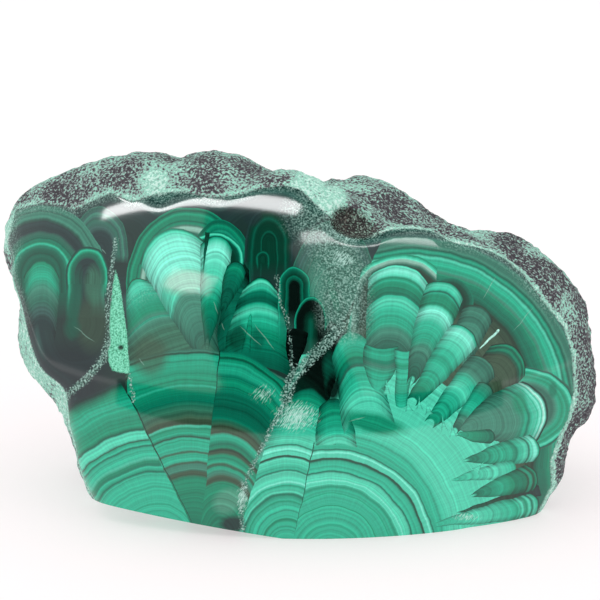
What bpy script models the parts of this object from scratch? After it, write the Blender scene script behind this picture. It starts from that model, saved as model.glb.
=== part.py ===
"""Polished malachite freeform, one solid stone.

A botryoidal (grape-like) mass of malachite keeps its natural knobbly skin on the top, the sides and
the back. Its front has been ground and polished to one smooth dome, and its underside has been sawn
flat so that the stone stands up. Run with: blender --background --python part.py

Frame: +Z up, +X to the viewer's right, the polished dome faces -Y. The origin is the centre of the
stone's bounding box, at the level of the sawn base.
"""

import math
from collections import namedtuple

import bmesh
import bpy
import numpy as np
from mathutils import Vector

MM = 0.001

# Growth lumps of the botryoidal mass: round masses that grew into one another. Millimetres, measured
# from the sawn base, before the stone is centred over its origin.
Lump = namedtuple("Lump", "name x y z radius")
GROWTH_LUMPS = (
    Lump("far left shoulder", -46.6, 40.0, 47.8, 12.5),
    Lump("left shoulder", -40.4, 38.0, 53.1, 11.4),
    Lump("left crown", -32.0, 34.7, 54.3, 13.8),
    Lump("middle crown", -17.0, 30.3, 55.3, 14.6),
    Lump("front ridge left", -3.2, 23.2, 56.6, 11.9),
    Lump("front ridge right", 5.0, 20.0, 54.8, 10.0),
    Lump("back valley", -4.0, 38.0, 50.0, 11.5),
    Lump("back crown", 10.0, 34.0, 46.3, 16.4),
    Lump("back saddle", 19.0, 33.0, 46.2, 11.8),
    Lump("right dome", 34.0, 27.5, 29.5, 23.8),
    Lump("right lower bulge", 49.2, 24.0, 22.1, 9.2),
    Lump("left flank upper", -40.2, 28.6, 33.4, 15.1),
    Lump("left flank lower", -31.2, 21.6, 22.3, 15.0),
    Lump("left foot", -28.2, 16.6, 10.6, 15.2),
    Lump("right foot", 38.2, 16.4, 11.2, 14.4),
    Lump("front foot left", -17.0, 8.7, 10.0, 17.0),
    Lump("front foot middle", 2.0, 8.7, 9.0, 17.0),
    Lump("front foot right", 20.0, 10.8, 9.0, 16.4),
    Lump("base left", -14.0, 26.0, 8.0, 17.0),
    Lump("base right", 16.0, 27.0, 8.0, 17.0),
    Lump("ground front far left", -45.6, 26.9, 47.4, 12.0),
    Lump("ground front left", -34.0, 22.0, 51.4, 12.0),
    Lump("ground front crown left", -21.0, 17.9, 53.4, 11.6),
    Lump("ground front crown right", -8.0, 15.9, 55.3, 12.0),
    Lump("ground front middle", 3.6, 12.5, 51.8, 11.6),
    Lump("ground front shoulder", 20.0, 12.3, 48.0, 12.4),
    Lump("ground front right high", 31.0, 13.8, 43.7, 12.8),
    Lump("ground front right", 39.0, 13.8, 34.8, 12.8),
    Lump("ground front right low", 38.6, 11.1, 23.0, 12.8),
    Lump("ground front flank high", -41.2, 18.3, 38.4, 12.4),
    Lump("ground front flank low", -33.0, 10.9, 26.9, 12.8),
    Lump("ground front foot", -30.0, 7.8, 15.6, 12.4),
    Lump("back left shoulder", -33.0, 38.0, 43.0, 14.0),
    Lump("back left high", -38.0, 42.0, 33.0, 13.5),
    Lump("back left middle", -20.0, 43.0, 38.0, 14.5),
    Lump("back centre high", 2.0, 44.0, 33.5, 15.0),
    Lump("back right high", 23.0, 43.0, 28.5, 14.5),
    Lump("back right end", 40.5, 38.0, 20.0, 13.5),
    Lump("back left low", -33.0, 36.0, 14.5, 13.8),
    Lump("back centre low", -12.0, 42.0, 13.0, 15.0),
    Lump("back middle low", 9.0, 43.5, 11.0, 13.5),
    Lump("back right low", 28.0, 36.0, 7.5, 14.0),
)

# The heart of the stone, which joins the lumps, and the front swell that the dome is ground from:
# two ellipsoids of solid growth, each as a centre and its radii.
HEART_MASS = ((0.0, 26.0, 28.0), (48.0, 27.0, 29.0))
FRONT_SWELL = ((4.0, 16.7, 28.4), (49.0, 25.0, 30.5))

# How softly two lumps run into each other, as the width of the fillet in the crease.
CREASE_SOFTNESS = 1.5

# The ground and polished front: part of an ellipsoid that cuts the lumps open.
DOME_CENTRE = (2.0, 58.3, 19.6)
DOME_RADII = (75.0, 62.0, 62.0)
RIM_SOFTNESS = 0.7

# The open pocket (vug) where the crown lumps meet the polished face.
POCKET_CENTRE = (11.6, 13.8, 62.2)
POCKET_RADII = (5.2, 3.8, 3.2)

# Small second growth knobs on the natural skin: flat and few in front of the crest, rounder behind.
KNOB_COUNT = 150
KNOB_DEPTH = (3.5, 7.0)
KNOB_RISE_FRONT = -0.3
KNOB_RISE_BACK = 1.6
KNOB_BACK_FROM_Y = 40.0
KNOB_BACK_TO_Y = 54.0
KNOB_SEED = 11

# The rays that shape the stone all start from its heart.
HEART = np.array((-2.0, 27.0, 29.0))
RAY_LENGTH = 95.0
# The ball is stretched before its points are sent out, so that they land evenly on a long stone.
BALL_STRETCH = np.array((60.0, 34.0, 36.0))
BALL_SUBDIVISIONS = 6

# Faces left after thinning, as a share of the ball's. The stone stays well under 10,000 triangles.
THINNING = 0.42

# The chip under the front left of the base, as the plane that trims it: a point and its normal.
CHIP_POINT = (-4.0, 0.0, 0.0)
CHIP_NORMAL = (-0.16, -0.2, -1.0)

STONE_GREEN = (0.035, 0.33, 0.20, 1.0)
STONE_ROUGHNESS = 0.18


def clear_scene():
    for obj in list(bpy.data.objects):
        bpy.data.objects.remove(obj, do_unlink=True)


def ellipsoid_distance(points, centre, radii):
    """About the distance to an ellipsoid's surface, below zero inside it."""
    offset = points - np.array(centre)
    scaled = np.linalg.norm(offset / np.array(radii), axis=1)
    steep = np.linalg.norm(offset / np.array(radii) ** 2, axis=1)
    return scaled * (scaled - 1.0) / np.maximum(steep, 1e-9)


def skin_distance(points, balls):
    """Distance to the natural skin: balls is an array of x, y, z and radius, and all melt together."""
    distances = [ellipsoid_distance(points, *mass) for mass in (HEART_MASS, FRONT_SWELL)]
    for ball in balls:
        distances.append(np.linalg.norm(points - ball[:3], axis=1) - ball[3])
    stack = np.array(distances)
    nearest = stack.min(axis=0)
    blend = np.exp((nearest - stack) / CREASE_SOFTNESS).sum(axis=0)
    return nearest - CREASE_SOFTNESS * np.log(blend)


def both(first, second, softness):
    """The solid inside two surfaces at once, with the edge between them rounded."""
    gap = np.clip(softness - np.abs(first - second), 0.0, None) / softness
    return np.maximum(first, second) + gap * gap * softness * 0.25


def stone_distance(points, balls):
    """Distance to the finished stone: the skin, cut by the polished dome, less the pocket."""
    skin = skin_distance(points, balls)
    dome = ellipsoid_distance(points, DOME_CENTRE, DOME_RADII)
    pocket = ellipsoid_distance(points, POCKET_CENTRE, POCKET_RADII)
    return both(both(skin, dome, RIM_SOFTNESS * 4.0), -pocket, 2.0)


def reach(directions, distance):
    """Where rays from the heart leave the stone: each is walked inwards from outside."""
    length = np.full(len(directions), RAY_LENGTH)
    for _ in range(70):
        length -= 0.85 * distance(HEART + directions * length[:, None])
    return HEART + directions * length[:, None]


def unit(vectors):
    return vectors / np.linalg.norm(vectors, axis=1)[:, None]


def second_growth(primary):
    """Knobs spread evenly over the skin on a spiral, each sunk so that only its cap shows."""
    rng = np.random.default_rng(KNOB_SEED)
    turns = np.arange(KNOB_COUNT) + 0.5
    height = 1.0 - 2.0 * turns / KNOB_COUNT
    angle = turns * math.pi * (3.0 - math.sqrt(5.0))
    across = np.sqrt(1.0 - height * height)
    spiral = np.column_stack((across * np.cos(angle), across * np.sin(angle), height))
    spiral += rng.normal(0.0, 0.07, spiral.shape)
    outward = unit(spiral * BALL_STRETCH)
    on_skin = reach(outward, lambda points: skin_distance(points, primary))
    depth = rng.uniform(*KNOB_DEPTH, KNOB_COUNT)
    share = np.clip((on_skin[:, 1] - KNOB_BACK_FROM_Y) / (KNOB_BACK_TO_Y - KNOB_BACK_FROM_Y), 0.0, 1.0)
    rise = KNOB_RISE_FRONT + (KNOB_RISE_BACK - KNOB_RISE_FRONT) * share
    centres = on_skin - outward * depth[:, None]
    return np.column_stack((centres, rise - skin_distance(centres, primary)))


def raw_stone():
    """The stone before its underside is sawn: a fine ball whose points are sent out to the surface."""
    primary = np.array([lump[1:] for lump in GROWTH_LUMPS])
    balls = np.vstack((primary, second_growth(primary)))
    ball = bmesh.new()
    bmesh.ops.create_icosphere(ball, subdivisions=BALL_SUBDIVISIONS, radius=1.0)
    directions = unit(np.array([vert.co for vert in ball.verts]) * BALL_STRETCH)
    surface = reach(directions, lambda points: stone_distance(points, balls))
    for vert, place in zip(ball.verts, surface):
        vert.co = Vector(place) * MM
    mesh = bpy.data.meshes.new("stone_raw")
    ball.to_mesh(mesh)
    ball.free()
    return mesh


def thinned(mesh):
    """The same surface with fewer, better placed faces: large on the dome, small in the creases."""
    helper = bpy.data.objects.new("stone_raw", mesh)
    bpy.context.scene.collection.objects.link(helper)
    thin = helper.modifiers.new("thin", "DECIMATE")
    thin.ratio = THINNING
    bpy.context.view_layer.update()
    graph = bpy.context.evaluated_depsgraph_get()
    light = bpy.data.meshes.new_from_object(helper.evaluated_get(graph))
    bpy.data.objects.remove(helper)
    return light


def trim(stone, point, normal):
    """Cuts away what lies on the normal's side of a plane and closes the cut with a flat face."""
    geometry = stone.verts[:] + stone.edges[:] + stone.faces[:]
    cut = bmesh.ops.bisect_plane(
        stone,
        geom=geometry,
        dist=1e-6,
        plane_co=Vector(point) * MM,
        plane_no=Vector(normal).normalized(),
        clear_outer=True,
    )
    rim = [item for item in cut["geom_cut"] if isinstance(item, bmesh.types.BMEdge)]
    bmesh.ops.holes_fill(stone, edges=rim, sides=0)


def sawn_stone(mesh):
    """The chip and the flat base are cut, and the stone is centred over its origin."""
    stone = bmesh.new()
    stone.from_mesh(mesh)
    trim(stone, CHIP_POINT, CHIP_NORMAL)
    trim(stone, (0.0, 0.0, 0.0), (0.0, 0.0, -1.0))
    bmesh.ops.remove_doubles(stone, verts=stone.verts[:], dist=0.02 * MM)
    bmesh.ops.triangulate(stone, faces=stone.faces[:])
    bmesh.ops.recalc_face_normals(stone, faces=stone.faces[:])
    low = [min(vert.co[axis] for vert in stone.verts) for axis in range(3)]
    high = [max(vert.co[axis] for vert in stone.verts) for axis in range(3)]
    centre = Vector(((low[0] + high[0]) / 2.0, (low[1] + high[1]) / 2.0, 0.0))
    bmesh.ops.translate(stone, verts=stone.verts[:], vec=-centre)
    finished = bpy.data.meshes.new("malachite_stone")
    stone.to_mesh(finished)
    stone.free()
    return finished


def stone_material():
    """Polished banded malachite, seen from afar as one deep green."""
    material = bpy.data.materials.new("polished_malachite")
    material.use_nodes = True
    shader = material.node_tree.nodes["Principled BSDF"]
    shader.inputs["Base Color"].default_value = STONE_GREEN
    shader.inputs["Roughness"].default_value = STONE_ROUGHNESS
    shader.inputs["Metallic"].default_value = 0.0
    return material


def main():
    clear_scene()
    shelf = bpy.data.collections.new("malachite_freeform")
    bpy.context.scene.collection.children.link(shelf)
    mesh = sawn_stone(thinned(raw_stone()))
    mesh.shade_smooth()
    mesh.set_sharp_from_angle(angle=math.radians(40.0))
    mesh.materials.append(stone_material())
    stone = bpy.data.objects.new("malachite_stone", mesh)
    shelf.objects.link(stone)


main()
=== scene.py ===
"""Polished malachite freeform: natural knobbly skin above and behind, ground dome in front, sawn base."""

import math
from collections import namedtuple

import bmesh
import bpy
import numpy as np
from mathutils import Matrix, Vector, noise


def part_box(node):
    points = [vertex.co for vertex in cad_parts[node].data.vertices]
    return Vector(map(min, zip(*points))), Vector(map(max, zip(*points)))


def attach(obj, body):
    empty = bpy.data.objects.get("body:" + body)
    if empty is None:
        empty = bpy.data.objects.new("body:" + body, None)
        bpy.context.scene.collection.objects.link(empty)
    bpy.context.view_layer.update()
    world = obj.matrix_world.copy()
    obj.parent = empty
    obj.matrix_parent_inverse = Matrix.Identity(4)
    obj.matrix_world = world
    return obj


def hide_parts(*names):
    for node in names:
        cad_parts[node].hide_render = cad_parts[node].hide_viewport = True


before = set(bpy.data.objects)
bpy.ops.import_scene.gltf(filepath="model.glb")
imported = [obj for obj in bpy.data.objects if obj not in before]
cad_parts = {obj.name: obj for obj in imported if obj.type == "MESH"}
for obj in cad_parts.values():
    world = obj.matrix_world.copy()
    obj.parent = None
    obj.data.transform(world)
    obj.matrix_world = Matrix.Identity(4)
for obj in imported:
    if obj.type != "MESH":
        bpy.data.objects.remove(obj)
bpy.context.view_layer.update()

# Malachite stone, its form. One lump of botryoidal malachite: round masses that grew into one another
# and kept their natural skin above, at the sides and behind. The front was ground and polished to one
# smooth dome and the underside was sawn flat, so the stone stands on it.
MM = 0.001

# The round masses, by where they swell: centres and radii in millimetres.
Lump = namedtuple("Lump", "name x y z radius")
GROWTH_LUMPS = (
    Lump("far left shoulder", -46.6, 40.0, 47.8, 12.5),
    Lump("left shoulder", -40.4, 38.0, 53.1, 11.4),
    Lump("left crown", -32.0, 34.7, 54.3, 13.8),
    Lump("middle crown", -17.0, 30.3, 55.3, 14.6),
    Lump("front ridge left", -3.2, 23.2, 56.6, 11.9),
    Lump("front ridge right", 5.0, 20.0, 54.8, 10.0),
    Lump("back valley", -4.0, 38.0, 50.0, 11.5),
    Lump("back crown", 10.0, 34.0, 46.3, 16.4),
    Lump("back saddle", 19.0, 33.0, 46.2, 11.8),
    Lump("right dome", 34.0, 27.5, 29.5, 23.8),
    Lump("right lower bulge", 49.2, 24.0, 22.1, 9.2),
    Lump("left flank upper", -40.2, 28.6, 33.4, 15.1),
    Lump("left flank lower", -31.2, 21.6, 22.3, 15.0),
    Lump("left foot", -28.2, 16.6, 10.6, 15.2),
    Lump("right foot", 38.2, 16.4, 11.2, 14.4),
    Lump("front foot left", -17.0, 8.7, 10.0, 17.0),
    Lump("front foot middle", 2.0, 8.7, 9.0, 17.0),
    Lump("front foot right", 20.0, 10.8, 9.0, 16.4),
    Lump("base left", -14.0, 26.0, 8.0, 17.0),
    Lump("base right", 16.0, 27.0, 8.0, 17.0),
    Lump("ground front far left", -45.6, 26.9, 47.4, 12.0),
    Lump("ground front left", -34.0, 22.0, 51.4, 12.0),
    Lump("ground front crown left", -21.0, 17.9, 53.4, 11.6),
    Lump("ground front crown right", -8.0, 15.9, 55.3, 12.0),
    Lump("ground front middle", 3.6, 12.5, 51.8, 11.6),
    Lump("ground front shoulder", 20.0, 12.3, 48.0, 12.4),
    Lump("ground front right high", 31.0, 13.8, 43.7, 12.8),
    Lump("ground front right", 39.0, 13.8, 34.8, 12.8),
    Lump("ground front right low", 38.6, 11.1, 23.0, 12.8),
    Lump("ground front flank high", -41.2, 18.3, 38.4, 12.4),
    Lump("ground front flank low", -33.0, 10.9, 26.9, 12.8),
    Lump("ground front foot", -30.0, 7.8, 15.6, 12.4),
    Lump("back left shoulder", -33.0, 38.0, 43.0, 14.0),
    Lump("back left high", -38.0, 42.0, 33.0, 13.5),
    Lump("back left middle", -20.0, 43.0, 38.0, 14.5),
    Lump("back centre high", 2.0, 44.0, 33.5, 15.0),
    Lump("back right high", 23.0, 43.0, 28.5, 14.5),
    Lump("back right end", 40.5, 38.0, 20.0, 13.5),
    Lump("back left low", -33.0, 36.0, 14.5, 13.8),
    Lump("back centre low", -12.0, 42.0, 13.0, 15.0),
    Lump("back middle low", 9.0, 43.5, 11.0, 13.5),
    Lump("back right low", 28.0, 36.0, 7.5, 14.0),
)
# Two broad masses behind them, each a centre and its radii, and how softly all of them melt together.
HEART_MASS = ((0.0, 26.0, 28.0), (48.0, 27.0, 29.0))
FRONT_SWELL = ((4.0, 16.7, 28.4), (49.0, 25.0, 30.5))
CREASE_SOFTNESS = 1.5

# The ellipsoid that the face was ground to, and the roundness of its buffed edge.
DOME_CENTRE = (2.0, 58.3, 19.6)
DOME_RADII = (75.0, 62.0, 62.0)
RIM_FILLET = 1.7

# The small open pocket at the rim.
POCKET_CENTRE = (11.6, 13.8, 62.2)
POCKET_RADII = (5.2, 3.8, 3.2)
POCKET_FILLET = 2.0

# Knobs of a second growth on the natural skin, flat in front of the crest and rounder behind it.
KNOB_COUNT = 150
KNOB_SEED = 11
KNOB_SCATTER = 0.07
KNOB_DEPTH = (3.5, 7.0)
KNOB_RISE_FRONT = -0.3
KNOB_RISE_BACK = 1.6
KNOB_BACK_FROM_Y = 40.0
KNOB_BACK_TO_Y = 54.0

# Rays from the heart find the surface. They start far out, and each step walks this share of what is left.
HEART = np.array((-2.0, 27.0, 29.0))
BALL_STRETCH = np.array((60.0, 34.0, 36.0))
RAY_LENGTH = 95.0
WALK_SHARE = 0.85
FAR_STEPS = 70
NEAR_STEPS = 14
START_OUTSIDE = 0.6

# The worn facet that lifts the front left of the base.
CHIP_POINT = (-4.0, 0.0, 0.0)
CHIP_NORMAL = (-0.16, -0.2, -1.0)


def ellipsoid_distance(points, centre, radii):
    """About the distance to an ellipsoid's surface, below zero inside it."""
    offset = points - np.array(centre)
    scaled = np.linalg.norm(offset / np.array(radii), axis=1)
    steep = np.linalg.norm(offset / np.array(radii) ** 2, axis=1)
    return scaled * (scaled - 1.0) / np.maximum(steep, 1e-9)


def skin_distance(points, balls):
    """Distance to the natural skin: balls is an array of x, y, z and radius, and all melt together."""
    distances = [ellipsoid_distance(points, *mass) for mass in (HEART_MASS, FRONT_SWELL)]
    for ball in balls:
        distances.append(np.linalg.norm(points - ball[:3], axis=1) - ball[3])
    stack = np.array(distances)
    nearest = stack.min(axis=0)
    blend = np.exp((nearest - stack) / CREASE_SOFTNESS).sum(axis=0)
    return nearest - CREASE_SOFTNESS * np.log(blend)


def both(first, second, softness):
    """The solid inside two surfaces at once, with the edge between them rounded."""
    gap = np.clip(softness - np.abs(first - second), 0.0, None) / softness
    return np.maximum(first, second) + gap * gap * softness * 0.25


def stone_distance(points, balls):
    """Distance to the finished stone: the skin, cut by the polished dome, less the pocket."""
    skin = skin_distance(points, balls)
    dome = ellipsoid_distance(points, DOME_CENTRE, DOME_RADII)
    pocket = ellipsoid_distance(points, POCKET_CENTRE, POCKET_RADII)
    return both(both(skin, dome, RIM_FILLET), -pocket, POCKET_FILLET)


def reach(directions, distance, length, steps):
    """How far rays from the heart go before they leave the stone: each is walked inwards."""
    length = np.array(length, dtype=float)
    for _ in range(steps):
        length -= WALK_SHARE * distance(HEART + directions * length[:, None])
    return length


def unit(vectors):
    return vectors / np.linalg.norm(vectors, axis=1)[:, None]


def second_growth(primary):
    """Knobs spread evenly over the skin on a spiral, each sunk so that only its cap shows."""
    rng = np.random.default_rng(KNOB_SEED)
    turns = np.arange(KNOB_COUNT) + 0.5
    height = 1.0 - 2.0 * turns / KNOB_COUNT
    angle = turns * math.pi * (3.0 - math.sqrt(5.0))
    across = np.sqrt(1.0 - height * height)
    spiral = np.column_stack((across * np.cos(angle), across * np.sin(angle), height))
    spiral += rng.normal(0.0, KNOB_SCATTER, spiral.shape)
    outward = unit(spiral * BALL_STRETCH)
    start = np.full(KNOB_COUNT, RAY_LENGTH)
    length = reach(outward, lambda points: skin_distance(points, primary), start, FAR_STEPS)
    on_skin = HEART + outward * length[:, None]
    depth = rng.uniform(*KNOB_DEPTH, KNOB_COUNT)
    share = np.clip((on_skin[:, 1] - KNOB_BACK_FROM_Y) / (KNOB_BACK_TO_Y - KNOB_BACK_FROM_Y), 0.0, 1.0)
    rise = KNOB_RISE_FRONT + (KNOB_RISE_BACK - KNOB_RISE_FRONT) * share
    centres = on_skin - outward * depth[:, None]
    return np.column_stack((centres, rise - skin_distance(centres, primary)))


primary = np.array([lump[1:] for lump in GROWTH_LUMPS])
balls = np.vstack((primary, second_growth(primary)))

# The ball is divided twice after its points have found the surface: everywhere first, then only where
# the natural skin and the seams need finer faces.
stone = bmesh.new()
bmesh.ops.create_icosphere(stone, subdivisions=6, radius=1.0)
reached = stone.verts.layers.float.new("reached")


def ball_directions():
    return unit(np.array([vert.co for vert in stone.verts]) * BALL_STRETCH)


def settle(start, steps):
    """Sends a ray through every point of the ball to the surface and keeps how far it went."""
    length = reach(ball_directions(), lambda points: stone_distance(points, balls), start, steps)
    for vert, far in zip(stone.verts, length):
        vert[reached] = far


def divide(edges):
    """Halves these edges, and lets the new points start a little outside the surface."""
    bmesh.ops.subdivide_edges(stone, edges=edges, cuts=1, use_grid_fill=True)
    bmesh.ops.triangulate(stone, faces=stone.faces[:])
    stone.verts.index_update()
    settle([vert[reached] + START_OUTSIDE for vert in stone.verts], NEAR_STEPS)


settle(np.full(len(stone.verts), RAY_LENGTH), FAR_STEPS)
divide(stone.edges[:])

# Where the growth pattern is read: millimetres on a plane square to the line of sight, which looks
# down on the dome by this tilt. u runs to the right, w up the face, from the dome's nearest point.
TILT = math.radians(20.0)
FACE_HEIGHT = 40.8


def face_uw(points):
    w = points[:, 1] * math.sin(TILT) + (points[:, 2] - FACE_HEIGHT) * math.cos(TILT)
    return np.column_stack((points[:, 0], w))


# Seams where two growths met and left a line of loose grains: points on the face and half the width.
Seam = namedtuple("Seam", "name half_width points")
SEAMS = (
    Seam(
        "left lobe foot", 0.6,
        ((-48.6, -15.0), (-46.6, -9.8), (-43.0, -7.0), (-39.4, -2.8), (-38.2, 1.0)),
    ),
    Seam("wedge foot", 0.12, ((-34.2, -5.6), (-33.6, -8.4), (-33.2, -11.2))),
    Seam("left lobe side", 0.25, ((-38.2, 1.0), (-38.4, 9.0), (-37.4, 17.0), (-36.8, 21.0))),
    Seam("central high", 1.0, ((8.6, 5.0), (5.0, 0.4), (1.2, -3.2), (-1.8, -6.6), (-3.0, -10.6))),
    Seam(
        "central low", 0.25,
        ((-3.0, -10.6), (-7.2, -19.2), (-10.8, -26.6), (-11.8, -32.8), (-11.6, -37.0)),
    ),
    Seam("between the ovals", 0.1, ((-4.8, 14.0), (-4.0, 8.0), (-2.6, 5.4), (-2.0, 0.2), (-1.7, -4.4))),
)
# The belt of loose grains that runs from the rim by the pocket down to the central seam, as its middle
# line and half its width.
CROWN_GRAINS = ((1.6, 26.0), (6.0, 21.0), (8.6, 14.0), (8.6, 6.0))
CROWN_GRAINS_HALF_WIDTH = 6.4


def polyline_distance(places, points):
    """How far places on the face are from a line through these points."""
    nearest = np.full(len(places), np.inf)
    for start, end in zip(points, points[1:]):
        along = np.array(end) - np.array(start)
        share = np.clip((places - np.array(start)) @ along / (along @ along), 0.0, 1.0)
        gap = places - np.array(start) - share[:, None] * along
        nearest = np.minimum(nearest, np.linalg.norm(gap, axis=1))
    return nearest


def seam_distance(places):
    nearest = np.full(len(places), np.inf)
    for seam in SEAMS:
        nearest = np.minimum(nearest, polyline_distance(places, seam.points) - seam.half_width)
    return nearest


# The rim of the polish, from the left side over the crown to the right foot, as points on the face. The
# points far to the left and below close it round the polish, which ends there at the stone's own edge.
RIM_BELOW = ((47.0, -80.0), (-90.0, -80.0), (-90.0, 8.0))
RIM = (
    (-59.0, 8.0), (-58.6, 21.0), (-57.0, 27.2), (-52.0, 28.4), (-47.6, 27.8), (-45.0, 27.0), (-42.0, 28.6),
    (-38.0, 30.4), (-33.6, 28.6), (-28.0, 30.4), (-23.0, 30.6), (-18.0, 29.4), (-12.0, 30.0), (-7.6, 31.4),
    (-3.0, 31.8), (0.0, 31.0), (3.0, 28.0), (6.0, 25.4), (9.0, 21.6), (14.6, 21.6), (17.0, 23.4),
    (20.0, 23.4), (29.4, 22.6), (34.8, 21.0), (40.0, 17.8), (44.2, 14.2), (48.2, 8.8), (52.4, 3.6),
    (54.0, -1.8), (54.4, -9.2), (53.2, -14.8), (51.4, -18.0), (49.8, -23.0), (50.0, -28.0), (47.0, -34.0),
)


def within(places, corners):
    """True for places on the face that lie inside an outline."""
    odd = np.zeros(len(places), dtype=bool)
    for (u1, w1), (u2, w2) in zip(corners, corners[1:] + corners[:1]):
        if w1 != w2:
            crosses = (w1 > places[:, 1]) != (w2 > places[:, 1])
            odd ^= crosses & (places[:, 0] < (u2 - u1) * (places[:, 1] - w1) / (w2 - w1) + u1)
    return odd


def outside_rim(places):
    """Millimetres on the face outside the rim, below zero inside it."""
    polished = within(places, RIM + RIM_BELOW)
    return polyline_distance(places, RIM) * np.where(polished, -1.0, 1.0)


def stone_points():
    length = np.array([vert[reached] for vert in stone.verts])
    return HEART + ball_directions() * length[:, None]


def skin_over_dome(points):
    """Above zero on natural skin, below zero on the polish, in millimetres from the rim's surfaces."""
    return skin_distance(points, balls) - ellipsoid_distance(points, DOME_CENTRE, DOME_RADII)


# The finest faces go to the skin that shows from the front, the rim, the seams and the chalky wedge.
FINE_REACH = 1.2
SEEN_FROM_RIM = -1.0
SEEN_TO_Y = 44.0
SEEN_FROM_Z = 18.0
FRONT_TO_Y = 30.0
WEDGE_MIDDLE = (-36.2, 4.6)
WEDGE_HALF_SIZE = (3.2, 11.6)
points = stone_points()
places = face_uw(points)
over = np.maximum(skin_over_dome(points), outside_rim(places))
seen_skin = (over > SEEN_FROM_RIM) & (points[:, 1] < SEEN_TO_Y) & (points[:, 2] > SEEN_FROM_Z)
on_seam = (np.abs(seam_distance(places)) < FINE_REACH) & (over < 0.0)
by_wedge = (np.abs(places - WEDGE_MIDDLE) < WEDGE_HALF_SIZE).all(axis=1) & (points[:, 1] < FRONT_TO_Y)
fine = seen_skin | (np.abs(over) < FINE_REACH) | on_seam | by_wedge
divide([edge for edge in stone.edges if fine[edge.verts[0].index] and fine[edge.verts[1].index]])

for vert, place in zip(stone.verts, stone_points()):
    vert.co = Vector(place) * MM


def trim(point, normal):
    """Cuts away what lies on the normal's side of a plane and closes the cut with a flat face."""
    geometry = stone.verts[:] + stone.edges[:] + stone.faces[:]
    cut = bmesh.ops.bisect_plane(
        stone,
        geom=geometry,
        dist=1e-7,
        plane_co=Vector(point) * MM,
        plane_no=Vector(normal).normalized(),
        clear_outer=True,
    )
    rim = [item for item in cut["geom_cut"] if isinstance(item, bmesh.types.BMEdge)]
    bmesh.ops.holes_fill(stone, edges=rim, sides=0)


trim(CHIP_POINT, CHIP_NORMAL)
trim((0.0, 0.0, 0.0), (0.0, 0.0, -1.0))
bmesh.ops.remove_doubles(stone, verts=stone.verts[:], dist=0.01 * MM)
bmesh.ops.triangulate(stone, faces=stone.faces[:])
bmesh.ops.recalc_face_normals(stone, faces=stone.faces[:])

mesh = bpy.data.meshes.new("polished_malachite_stone")
stone.to_mesh(mesh)
stone.free()


def vertex_values(name):
    """One three-part value of every vertex, as rows."""
    flat = np.empty(len(mesh.vertices) * 3, dtype=np.float32)
    mesh.vertices.foreach_get(name, flat)
    return flat.reshape(-1, 3)


# The stone is set to the middle of the CAD solid that it stands for, and keeps its base on the ground.
points = vertex_values("co").astype(float) / MM
node_low, node_high = (np.array(corner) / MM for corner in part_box("malachite_stone"))
own_middle = (points.min(axis=0) + points.max(axis=0)) / 2.0
shift = (node_low + node_high) / 2.0 - own_middle
shift[2] = 0.0

# How far the natural skin stands over the polish. Low down at both sides the polish takes a little more.
LOW_RIND_TOP = -10.0
LOW_RIND_FADE = 6.0
LOW_RIND_LOSS = 1.2
places = face_uw(points)
low_rind = np.clip((LOW_RIND_TOP - places[:, 1]) / LOW_RIND_FADE, 0.0, 1.0)
over = np.maximum(skin_over_dome(points) - LOW_RIND_LOSS * low_rind, outside_rim(places))
under_skin = -skin_distance(points, balls)

# The chalky wedge of soft growth between the left lobe and the middle one: it stands a little lower than
# the polish, and has one small pit.
WEDGE = (
    (-36.9, 15.2), (-37.5, 11.0), (-37.9, 7.0), (-38.0, 3.0), (-37.8, 0.6), (-38.3, -1.0), (-38.2, -3.4),
    (-37.4, -5.0), (-35.6, -5.4), (-34.4, -5.6), (-34.0, -5.0), (-34.2, -2.4), (-34.4, 0.0), (-34.6, 3.0),
    (-35.2, 7.0), (-35.6, 10.0), (-36.2, 13.0),
)
WEDGE_DEPTH = 0.25
WEDGE_SLOPE = 0.5
FAR_FROM_WEDGE = 9.0
PIT_PLACE = (-35.8, -0.4)
PIT_RADIUS = 0.7
PIT_DEPTH = 0.7
PIT_MOUTH = 1.2
wedge = polyline_distance(places, WEDGE + WEDGE[:1]) * np.where(within(places, WEDGE), -1.0, 1.0)
wedge = np.where(points[:, 1] < FRONT_TO_Y, wedge, FAR_FROM_WEDGE)
from_pit = np.linalg.norm(places - np.array(PIT_PLACE), axis=1) / PIT_RADIUS
recess = WEDGE_DEPTH * np.clip(-wedge / WEDGE_SLOPE, 0.0, 1.0)
recess += PIT_DEPTH * np.clip(PIT_MOUTH - from_pit, 0.0, 1.0)


def write_attribute(name, values):
    made = mesh.attributes.new(name, "FLOAT", "POINT")
    made.data.foreach_set("value", np.asarray(values, dtype=np.float32))


write_attribute("skin_over_dome", over)
write_attribute("under_skin", under_skin)
write_attribute("seam", seam_distance(places))
write_attribute("wedge", wedge)

# How light green the crust is. It is lighter on the crests, which face up and back, in broad mottles, in a
# few patches given as places on the face with their reach, and along the rim, most of all on the right.
# The thin rind low on the left is lighter too, and the one on the right is darker.
CREST_FACING = 0.45
MOTTLE_SIZE = 7.0
RIND_TOP = 16.0
RIND_FADE = 6.0
RIND_FACING = 0.3
RIGHT_RIND = -0.25
PLAIN_LIGHT, CREST_LIGHT, MOTTLE_LIGHT, RIND_LIGHT = 0.2, 0.35, 0.6, 0.45
LIGHT_PATCHES = (
    (-29.0, 32.6, 4.2), (1.5, 32.4, 5.0), (6.0, 28.6, 4.6), (12.0, 24.4, 3.0), (-58.0, 22.0, 4.0),
)
PATCH_STEEPNESS = 2.0
RIM_LINE = 0.4
RIM_LINE_HALF_WIDTH = 0.5
RIM_LIGHT, RIM_LIGHT_RIGHT = 0.3, 0.4
RIGHT_RIM_FROM_U = 14.0


def uneven(size):
    """Smooth noise at every vertex, with lumps of about this size in millimetres."""
    return np.array([noise.noise(Vector(point / size)) for point in points])


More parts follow.
